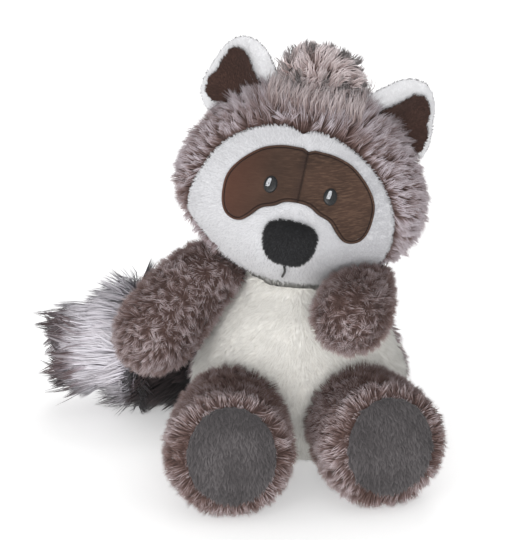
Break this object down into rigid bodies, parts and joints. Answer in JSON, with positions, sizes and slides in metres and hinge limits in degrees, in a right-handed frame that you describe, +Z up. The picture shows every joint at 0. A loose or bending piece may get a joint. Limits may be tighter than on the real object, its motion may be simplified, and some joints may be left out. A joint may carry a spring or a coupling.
{
  "type": "plush raccoon",
  "caption": "Sitting plush raccoon with a brown pelt, white face and belly, dark eye mask, black nose, grey soles and a bushy tail with dark hair tips.",
  "frame": {"origin": "on the flat seat at the floor, under the middle of the body", "axes": "+Z up, the toy faces -Y, and its left side is on +X"},
  "size_m": [0.2209, 0.2025, 0.231],
  "materials": {
    "brown_pelt": "long curly pile, dark brown roots with pale tips",
    "white_plush": "short white pile",
    "ear_lining": "short dark brown pile",
    "mask_suede": "brown suede",
    "black_thread": "dense satin embroidery",
    "grey_thread": "dense satin embroidery",
    "black_plush": "short black pile",
    "forelock_hair": "long straight pile, paler at the tips",
    "sole_plush": "short dark grey pile",
    "black_pelt": "long black pile",
    "brush_hair": "long pale pile with dark brown tips"
  },
  "bodies": {
    "root": {"arm_left": "brown_pelt", "arm_right": "brown_pelt", "belly_panel": "white_plush", "ear_left": "white_plush", "ear_lining_left": "ear_lining", "ear_lining_right": "ear_lining", "ear_right": "white_plush", "eye_glint_left": "grey_thread", "eye_glint_right": "grey_thread", "eye_left": "black_thread", "eye_right": "black_thread", "face_panel": "white_plush", "forelock": "forelock_hair", "head_hood": "brown_pelt", "leg_left": "brown_pelt", "leg_right": "brown_pelt", "mask_left": "mask_suede", "mask_right": "mask_suede", "mouth_stitch": "black_thread", "nose": "black_plush", "sole_left": "sole_plush", "sole_right": "sole_plush", "tail_brush": "brush_hair", "tail_root": "black_pelt", "torso": "brown_pelt"}
  },
  "joints": []
}
